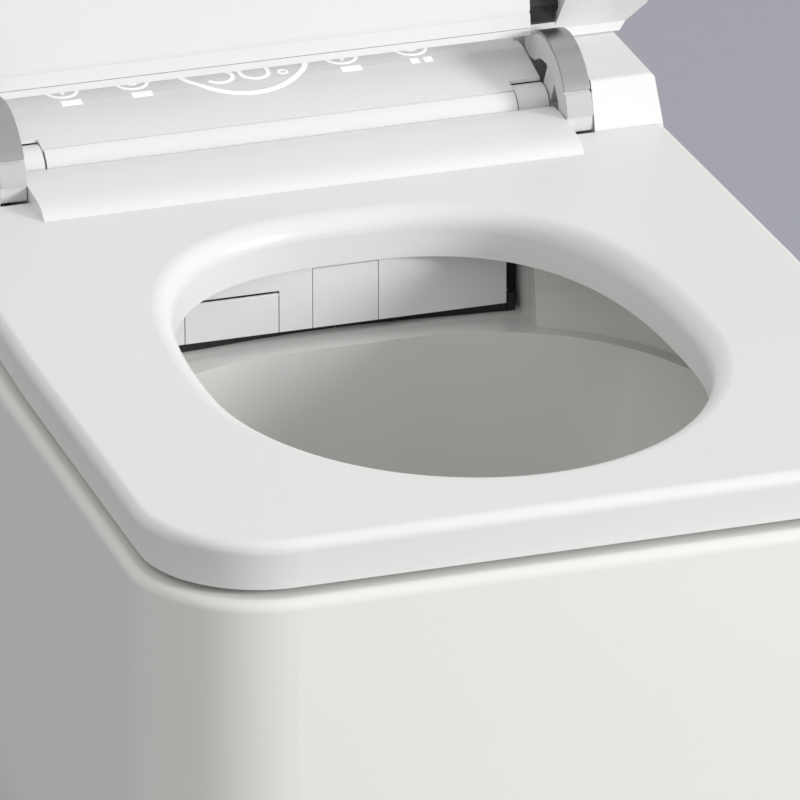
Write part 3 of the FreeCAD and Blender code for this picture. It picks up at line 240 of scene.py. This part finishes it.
def tone(tree, drift, colour, change):
    """A colour that drifts to a slightly darker one."""
    dark = tuple(c * (1 - change) for c in colour)
    return ramp(tree, drift, dark, colour)


def two_tones(tree, shader, drift, change, first, second, factor):
    """A base colour that goes from the first tone to the second by a factor."""
    mix = tree.nodes.new("ShaderNodeMix")
    mix.data_type = "RGBA"
    tree.links.new(factor, mix.inputs["Factor"])
    tree.links.new(tone(tree, drift, first, change), mix.inputs["A"])
    tree.links.new(tone(tree, drift, second, change), mix.inputs["B"])
    tree.links.new(mix.outputs["Result"], shader.inputs["Base Color"])


def finish(tree, shader, texture, rough, strength=GRAIN_STRENGTH, depth=GRAIN_DEPTH):
    """Roughness and bump from one texture."""
    tree.links.new(spread(tree, texture, *NUMBER_BAND, *rough), shader.inputs["Roughness"])
    bump = tree.nodes.new("ShaderNodeBump")
    bump.inputs["Strength"].default_value = strength
    bump.inputs["Distance"].default_value = depth
    tree.links.new(texture, bump.inputs["Height"])
    tree.links.new(bump.outputs["Normal"], shader.inputs["Normal"])


def surface(name, colour, change, rough, metallic=0.0, cloud=4.0, grain=600.0, stretch=(1, 1, 1)):
    """Colour and roughness that drift a little, with a fine grain in the surface."""
    material, tree, shader = new_material(name)
    drift = noise(tree, cloud, DRIFT_DETAIL)
    tree.links.new(tone(tree, drift, colour, change), shader.inputs["Base Color"])
    finish(tree, shader, noise(tree, grain, stretch=stretch), rough)
    shader.inputs["Metallic"].default_value = metallic
    return material


def painted_bowl_shade(tree):
    """Where the bowl's painted shade goes: one inside the bowl and below its rim, and nothing on the
    outside of the pan.
    """
    place = axes(tree, "Object")
    total = 0.0
    for axis, middle, half in zip("XY", BOWL_MIDDLE, BOWL_HALVES):
        away = arithmetic(tree, "SUBTRACT", place[axis], middle)
        share = arithmetic(tree, "DIVIDE", arithmetic(tree, "ABSOLUTE", away, 0.0), half)
        total = arithmetic(tree, "ADD", arithmetic(tree, "POWER", share, BOWL_POWER), total)
    within = spread(tree, total, *BOWL_EDGE)
    below = spread(tree, place["Z"], *RIM_EDGE)
    return arithmetic(tree, "MULTIPLY", within, below)


def ceramic():
    """Glazed ceramic with the faint unevenness of a glaze, and shade painted in as a greyer tone inside
    the bowl.
    """
    material, tree, shader = new_material("glazed_ceramic")
    drift = noise(tree, GLAZE_CLOUD)
    # painted shade: the glaze is darkened to a greyer tone inside the bowl
    two_tones(tree, shader, drift, GLAZE_CHANGE, GLAZE_OUTSIDE, GLAZE_PAINTED_SHADE, painted_bowl_shade(tree))
    wave = noise(tree, GLAZE_WAVE, GLAZE_WAVE_DETAIL)
    finish(tree, shader, wave, GLAZE_ROUGH, GLAZE_STRENGTH, GLAZE_DEPTH)
    shader.inputs["Coat Weight"].default_value = GLAZE_COAT
    shader.inputs["Coat Roughness"].default_value = GLAZE_COAT_ROUGH
    return material


def arm():
    """The lid arms' plastic: light along the trim, and black painted in the lid's slot behind its end,
    as the slot's shade.
    """
    material, tree, shader = new_material("arm_plastic")
    place = axes(tree, "Object")
    behind = arithmetic(tree, "GREATER_THAN", place["Y"], ARM_SLOT_SHADE_Y)
    above = arithmetic(tree, "GREATER_THAN", place["Z"], ARM_SLOT_SHADE_Z)
    slot_shade = arithmetic(tree, "MULTIPLY", behind, above)
    drift = noise(tree, ARM_CLOUD, DRIFT_DETAIL)
    # painted shade: the arm is black where it sits in the lid's shaded slot
    two_tones(tree, shader, drift, ARM_CHANGE, ARM_LIGHT, BLACK, slot_shade)
    finish(tree, shader, noise(tree, ARM_GRAIN), ARM_ROUGH)
    return material


def painted_glow_print():
    """Pale print with a little painted glow."""
    material, tree, shader = new_material("painted_glow_print")
    colour = ramp(tree, noise(tree, SIGN_CLOUD), SIGN_DIM, SIGN_BRIGHT)
    tree.links.new(colour, shader.inputs["Base Color"])
    tree.links.new(colour, shader.inputs["Emission Color"])
    # painted light: the print glows though it is no lamp
    shader.inputs["Emission Strength"].default_value = SIGN_PAINTED_GLOW
    shader.inputs["Roughness"].default_value = SIGN_ROUGH
    return material


MATERIALS = {
    "ceramic": ceramic(),
    "white_plastic": surface(
        "white_plastic", WHITE, change=0.02, rough=(0.3, 0.38), grain=900.0),
    "seat_plastic": surface(
        "seat_plastic", (0.83, 0.83, 0.825), change=0.02, rough=(0.32, 0.42), grain=1000.0),
    "lid_plastic": surface(
        "lid_plastic", WHITE, change=0.02, rough=(0.3, 0.38), grain=900.0),
    "housing_grey": surface(
        "grey_plastic", (0.55, 0.55, 0.545), change=0.05, rough=(0.45, 0.6), grain=700.0),
    "dark_plastic": surface(
        "dark_plastic", (0.03, 0.03, 0.03), change=0.3, rough=(0.4, 0.6), grain=700.0),
    "steel": surface(
        "steel", (0.56, 0.56, 0.57), change=0.08, rough=(0.22, 0.4), metallic=1.0, grain=300.0,
        stretch=(1, 1, 12)),
    "brass": surface(
        "brass", (0.6, 0.43, 0.17), change=0.12, rough=(0.2, 0.36), metallic=1.0, grain=300.0,
        stretch=(1, 8, 1)),
    "seal_rubber": surface(
        "seal_rubber", BLACK, change=0.3, rough=(0.6, 0.8), grain=1200.0),
    "rubber": surface(
        "rubber", (0.4, 0.4, 0.4), change=0.15, rough=(0.6, 0.8), grain=1200.0),
    "circuit_board": surface(
        "circuit_board", (0.02, 0.16, 0.06), change=0.35, rough=(0.3, 0.5), cloud=120.0),
    "heater_film": surface(
        "heater_film", (0.5, 0.25, 0.08), change=0.2, rough=(0.4, 0.6), cloud=60.0),
    "arm_body": arm(),
    "chrome": surface(
        "chrome", (0.46, 0.46, 0.47), change=0.05, rough=(0.3, 0.4), metallic=1.0, grain=400.0,
        stretch=(20, 1, 1)),
    "cap": surface(
        "cap_plastic", (0.55, 0.56, 0.56), change=0.03, rough=(0.35, 0.45), grain=800.0),
    "wand": surface(
        "wand_plastic", (0.82, 0.82, 0.82), change=0.03, rough=(0.2, 0.32), grain=800.0),
}
SIGN_MATERIAL = painted_glow_print()

for part in frame["record"]["subparts"]:
    mesh = nodes[part["node"]].data
    mesh.materials.clear()
    mesh.materials.append(MATERIALS[part["material_slot"]])


# Pieces

def piece(name, mesh, body, material):
    """A mesh as a new piece that rides on a body."""
    bmesh.ops.recalc_face_normals(mesh, faces=mesh.faces)
    data = bpy.data.meshes.new(name)
    mesh.to_mesh(data)
    mesh.free()
    data.materials.append(material)
    made = bpy.data.objects.new(name, data)
    bpy.context.scene.collection.objects.link(made)
    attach(made, body)


def panel_z(y):
    """Height of the display panel's surface at a place in depth."""
    runs = (PANEL_FRONT, PANEL_BREAK, PANEL_BACK)
    for (y0, z0), (y1, z1) in zip(runs, runs[1:]):
        if y <= y1:
            break
    return z0 + (z1 - z0) * (y - y0) / (y1 - y0)


def stroke(mesh, points, width, closed=False):
    """A raised line of even width along points on the panel."""
    count = len(points)
    rows = []
    for i, point in enumerate(points):
        before = points[(i - 1) % count] if closed or i > 0 else point
        after = points[(i + 1) % count] if closed or i < count - 1 else point
        along = Vector((after[0] - before[0], after[1] - before[1])).normalized()
        side = Vector((-along.y, along.x)) * width / 2
        row = []
        for sign in (-1, 1):
            x = point[0] + sign * side.x
            y = point[1] + sign * side.y
            top = mesh.verts.new((x, y, panel_z(y) + SIGN_LIFT))
            low = mesh.verts.new((x, y, panel_z(y) - SIGN_SINK))
            row.append((top, low))
        rows.append(row)
    pairs = list(zip(rows, rows[1:]))
    if closed:
        pairs.append((rows[-1], rows[0]))
    for (a, b), (c, d) in pairs:
        mesh.faces.new((a[0], b[0], d[0], c[0]))
        mesh.faces.new((a[1], c[1], d[1], b[1]))
        mesh.faces.new((a[0], c[0], c[1], a[1]))
        mesh.faces.new((b[0], b[1], d[1], d[0]))
    if not closed:
        for (a, b), flip in ((rows[0], False), (rows[-1], True)):
            face = (a[0], a[1], b[1], b[0])
            mesh.faces.new(tuple(reversed(face)) if flip else face)


def arc(x, y, radius, start, end, steps):
    """Points on an arc between two angles in degrees."""
    angles = [math.radians(start + (end - start) * i / steps) for i in range(steps + 1)]
    return [(x + radius * math.cos(a), y + radius * math.sin(a)) for a in angles]


def ring(x, y, radius, steps):
    """Points on a full circle."""
    return arc(x, y, radius, 0, 360, steps)[:-1]


def make_dial():
    mesh = bmesh.new()
    stroke(mesh, ring(DIAL_X, DIAL_Y, DIAL_RADIUS, DIAL_STEPS), DIAL_LINE, closed=True)
    piece("display_dial", mesh, "pan", SIGN_MATERIAL)


def make_digits():
    """A plain 30 and a small degree ring inside the dial."""
    mesh = bmesh.new()
    half = DIGIT_WIDTH / 2
    low_y = DIGIT_FOOT + half
    high_y = low_y + DIGIT_WIDTH
    for y, (start, end) in zip((low_y, high_y), THREE_ARCS):
        stroke(mesh, arc(THREE_X, y, half, start, end, ARC_STEPS), DIGIT_LINE)
    low = arc(NOUGHT_X, low_y, half, 180, 360, ARC_STEPS)
    high = arc(NOUGHT_X, high_y, half, 0, 180, ARC_STEPS)
    stroke(mesh, low + high, DIGIT_LINE, closed=True)
    degree = ring(DEGREE_X, DIGIT_FOOT + DEGREE_RISE, DEGREE_RADIUS, DEGREE_STEPS)
    stroke(mesh, degree, DEGREE_LINE, closed=True)
    piece("display_digits", mesh, "pan", SIGN_MATERIAL)


def make_signs():
    """Four generic pictograms: an arc over a bar, with a needle or an eye in the arc's middle."""
    mesh = bmesh.new()
    middle_y = SIGN_Y + SIGN_RISE
    for x, bars, mark in SIGN_LIST:
        middle_x = x + SIGN_SHIFT
        stroke(mesh, arc(middle_x, middle_y, SIGN_RADIUS, *SIGN_ARC, ARC_STEPS), SIGN_LINE)
        for left, right in bars:
            stroke(mesh, [(x + left, SIGN_Y), (x + right, SIGN_Y)], SIGN_BAR)
        if mark == "eye":
            stroke(mesh, ring(middle_x, middle_y, EYE_RADIUS, EYE_STEPS), EYE_LINE, closed=True)
        else:
            ends = [(middle_x, middle_y - NEEDLE_HALF), (middle_x, middle_y + NEEDLE_HALF)]
            stroke(mesh, ends, SIGN_LINE)
    piece("display_signs", mesh, "pan", SIGN_MATERIAL)


def prism(mesh, outline, low, high):
    """A closed upright prism on a plan outline."""
    feet = [mesh.verts.new((x, y, low)) for x, y in outline]
    tops = [mesh.verts.new((x, y, high)) for x, y in outline]
    mesh.faces.new(feet)
    mesh.faces.new(tops)
    for i in range(len(outline)):
        k = (i + 1) % len(outline)
        mesh.faces.new((feet[i], feet[k], tops[k], tops[i]))


def make_gap_shade_sills():
    """Dark pieces of painted shade in the gap: on each side, a lip that runs out towards the middle and
    a stop in front of the tray's corner.
    """
    mesh = bmesh.new()
    (x0, y0), (x1, y1) = SILL_END
    lip = [*SILL_FRONT, (SILL_FRONT[-1][0], SILL_BACK), (SILL_FRONT[0][0], SILL_BACK)]
    stop = [(x0, y0), (x1, y0), (x1, y1), (x0, y1)]
    for side in (-1, 1):
        for outline, high in ((lip, SILL_HIGH), (stop, SILL_END_HIGH)):
            prism(mesh, [(side * x, y) for x, y in outline], SILL_LOW, high)
    bmesh.ops.bevel(mesh, geom=mesh.edges[:], offset=SILL_BEVEL, segments=2, affect="EDGES")
    # painted shade: black rubber put where the gap under the panel lies in shadow
    piece("nozzle_gap_shade_sills", mesh, "pan", MATERIALS["seal_rubber"])


make_dial()
make_digits()
make_signs()
make_gap_shade_sills()


# Stage, lights and camera

def floor_material():
    """One tone as the floor is seen and mirrored, and a neutral one in the light that it throws back."""
    material, tree, shader = new_material("floor")
    path = tree.nodes.new("ShaderNodeLightPath").outputs
    seen = arithmetic(tree, "ADD", path["Is Camera Ray"], path["Is Glossy Ray"])
    seen = arithmetic(tree, "ADD", seen, path["Is Transmission Ray"])
    drift = noise(tree, FLOOR_CLOUD, DRIFT_DETAIL)
    two_tones(tree, shader, drift, FLOOR_CHANGE, FLOOR_CAST, FLOOR_SEEN, seen)
    finish(tree, shader, noise(tree, FLOOR_GRAIN), FLOOR_ROUGH)
    return material


def make_floor():
    mesh = bmesh.new()
    bmesh.ops.create_grid(mesh, x_segments=1, y_segments=1, size=FLOOR_HALF)
    data = bpy.data.meshes.new("floor")
    mesh.to_mesh(data)
    mesh.free()
    data.materials.append(floor_material())
    floor = bpy.data.objects.new("floor", data)
    floor.location = (0, 0, FLOOR_Z)
    bpy.context.scene.collection.objects.link(floor)


def make_sky():
    """Soft light from all round, stronger from above."""
    world = bpy.data.worlds.new("studio")
    bpy.context.scene.world = world
    world.use_nodes = True
    tree = world.node_tree
    back = tree.nodes["Background"]
    back.inputs["Color"].default_value = (*SKY_COLOUR, 1)
    rise = axes(tree, "Generated")["Z"]
    strength = spread(tree, rise, 0.0, 1.0, SKY_HORIZON, SKY_ZENITH)
    tree.links.new(strength, back.inputs["Strength"])


def make_key():
    """One round lamp in front and on the right."""
    light = bpy.data.lights.new("key", "AREA")
    light.shape = "DISK"
    light.size = KEY_SIZE
    light.energy = KEY_POWER
    lamp = bpy.data.objects.new("key", light)
    lamp.location = KEY_PLACE
    lamp.rotation_euler = (Vector(KEY_AIM) - Vector(KEY_PLACE)).to_track_quat("-Z", "Y").to_euler()
    bpy.context.scene.collection.objects.link(lamp)


def make_camera():
    toward = Vector((
        -math.sin(AZIMUTH) * math.cos(ELEVATION),
        -math.cos(AZIMUTH) * math.cos(ELEVATION),
        math.sin(ELEVATION),
    ))
    right = Vector((math.cos(AZIMUTH), -math.sin(AZIMUTH), 0))
    up = right.cross(-toward)
    per_pixel = DISTANCE / FOCAL_PIXELS
    half = FRAME_PIXELS / 2
    across = (half - LOOK_AT_PIXEL[0]) * per_pixel
    rise = (LOOK_AT_PIXEL[1] - half) * per_pixel
    aim = LOOK_AT + right * across + up * rise
    place = LOOK_AT + toward * DISTANCE
    data = bpy.data.cameras.new("camera")
    data.sensor_width = SENSOR_MM
    data.lens = FOCAL_PIXELS / FRAME_PIXELS * SENSOR_MM
    camera = bpy.data.objects.new("camera", data)
    camera.location = place
    camera.rotation_euler = (aim - place).to_track_quat("-Z", "Y").to_euler()
    bpy.context.scene.collection.objects.link(camera)
    bpy.context.scene.camera = camera


make_floor()
make_sky()
make_key()
make_camera()
bpy.context.scene.view_settings.view_transform = "Standard"
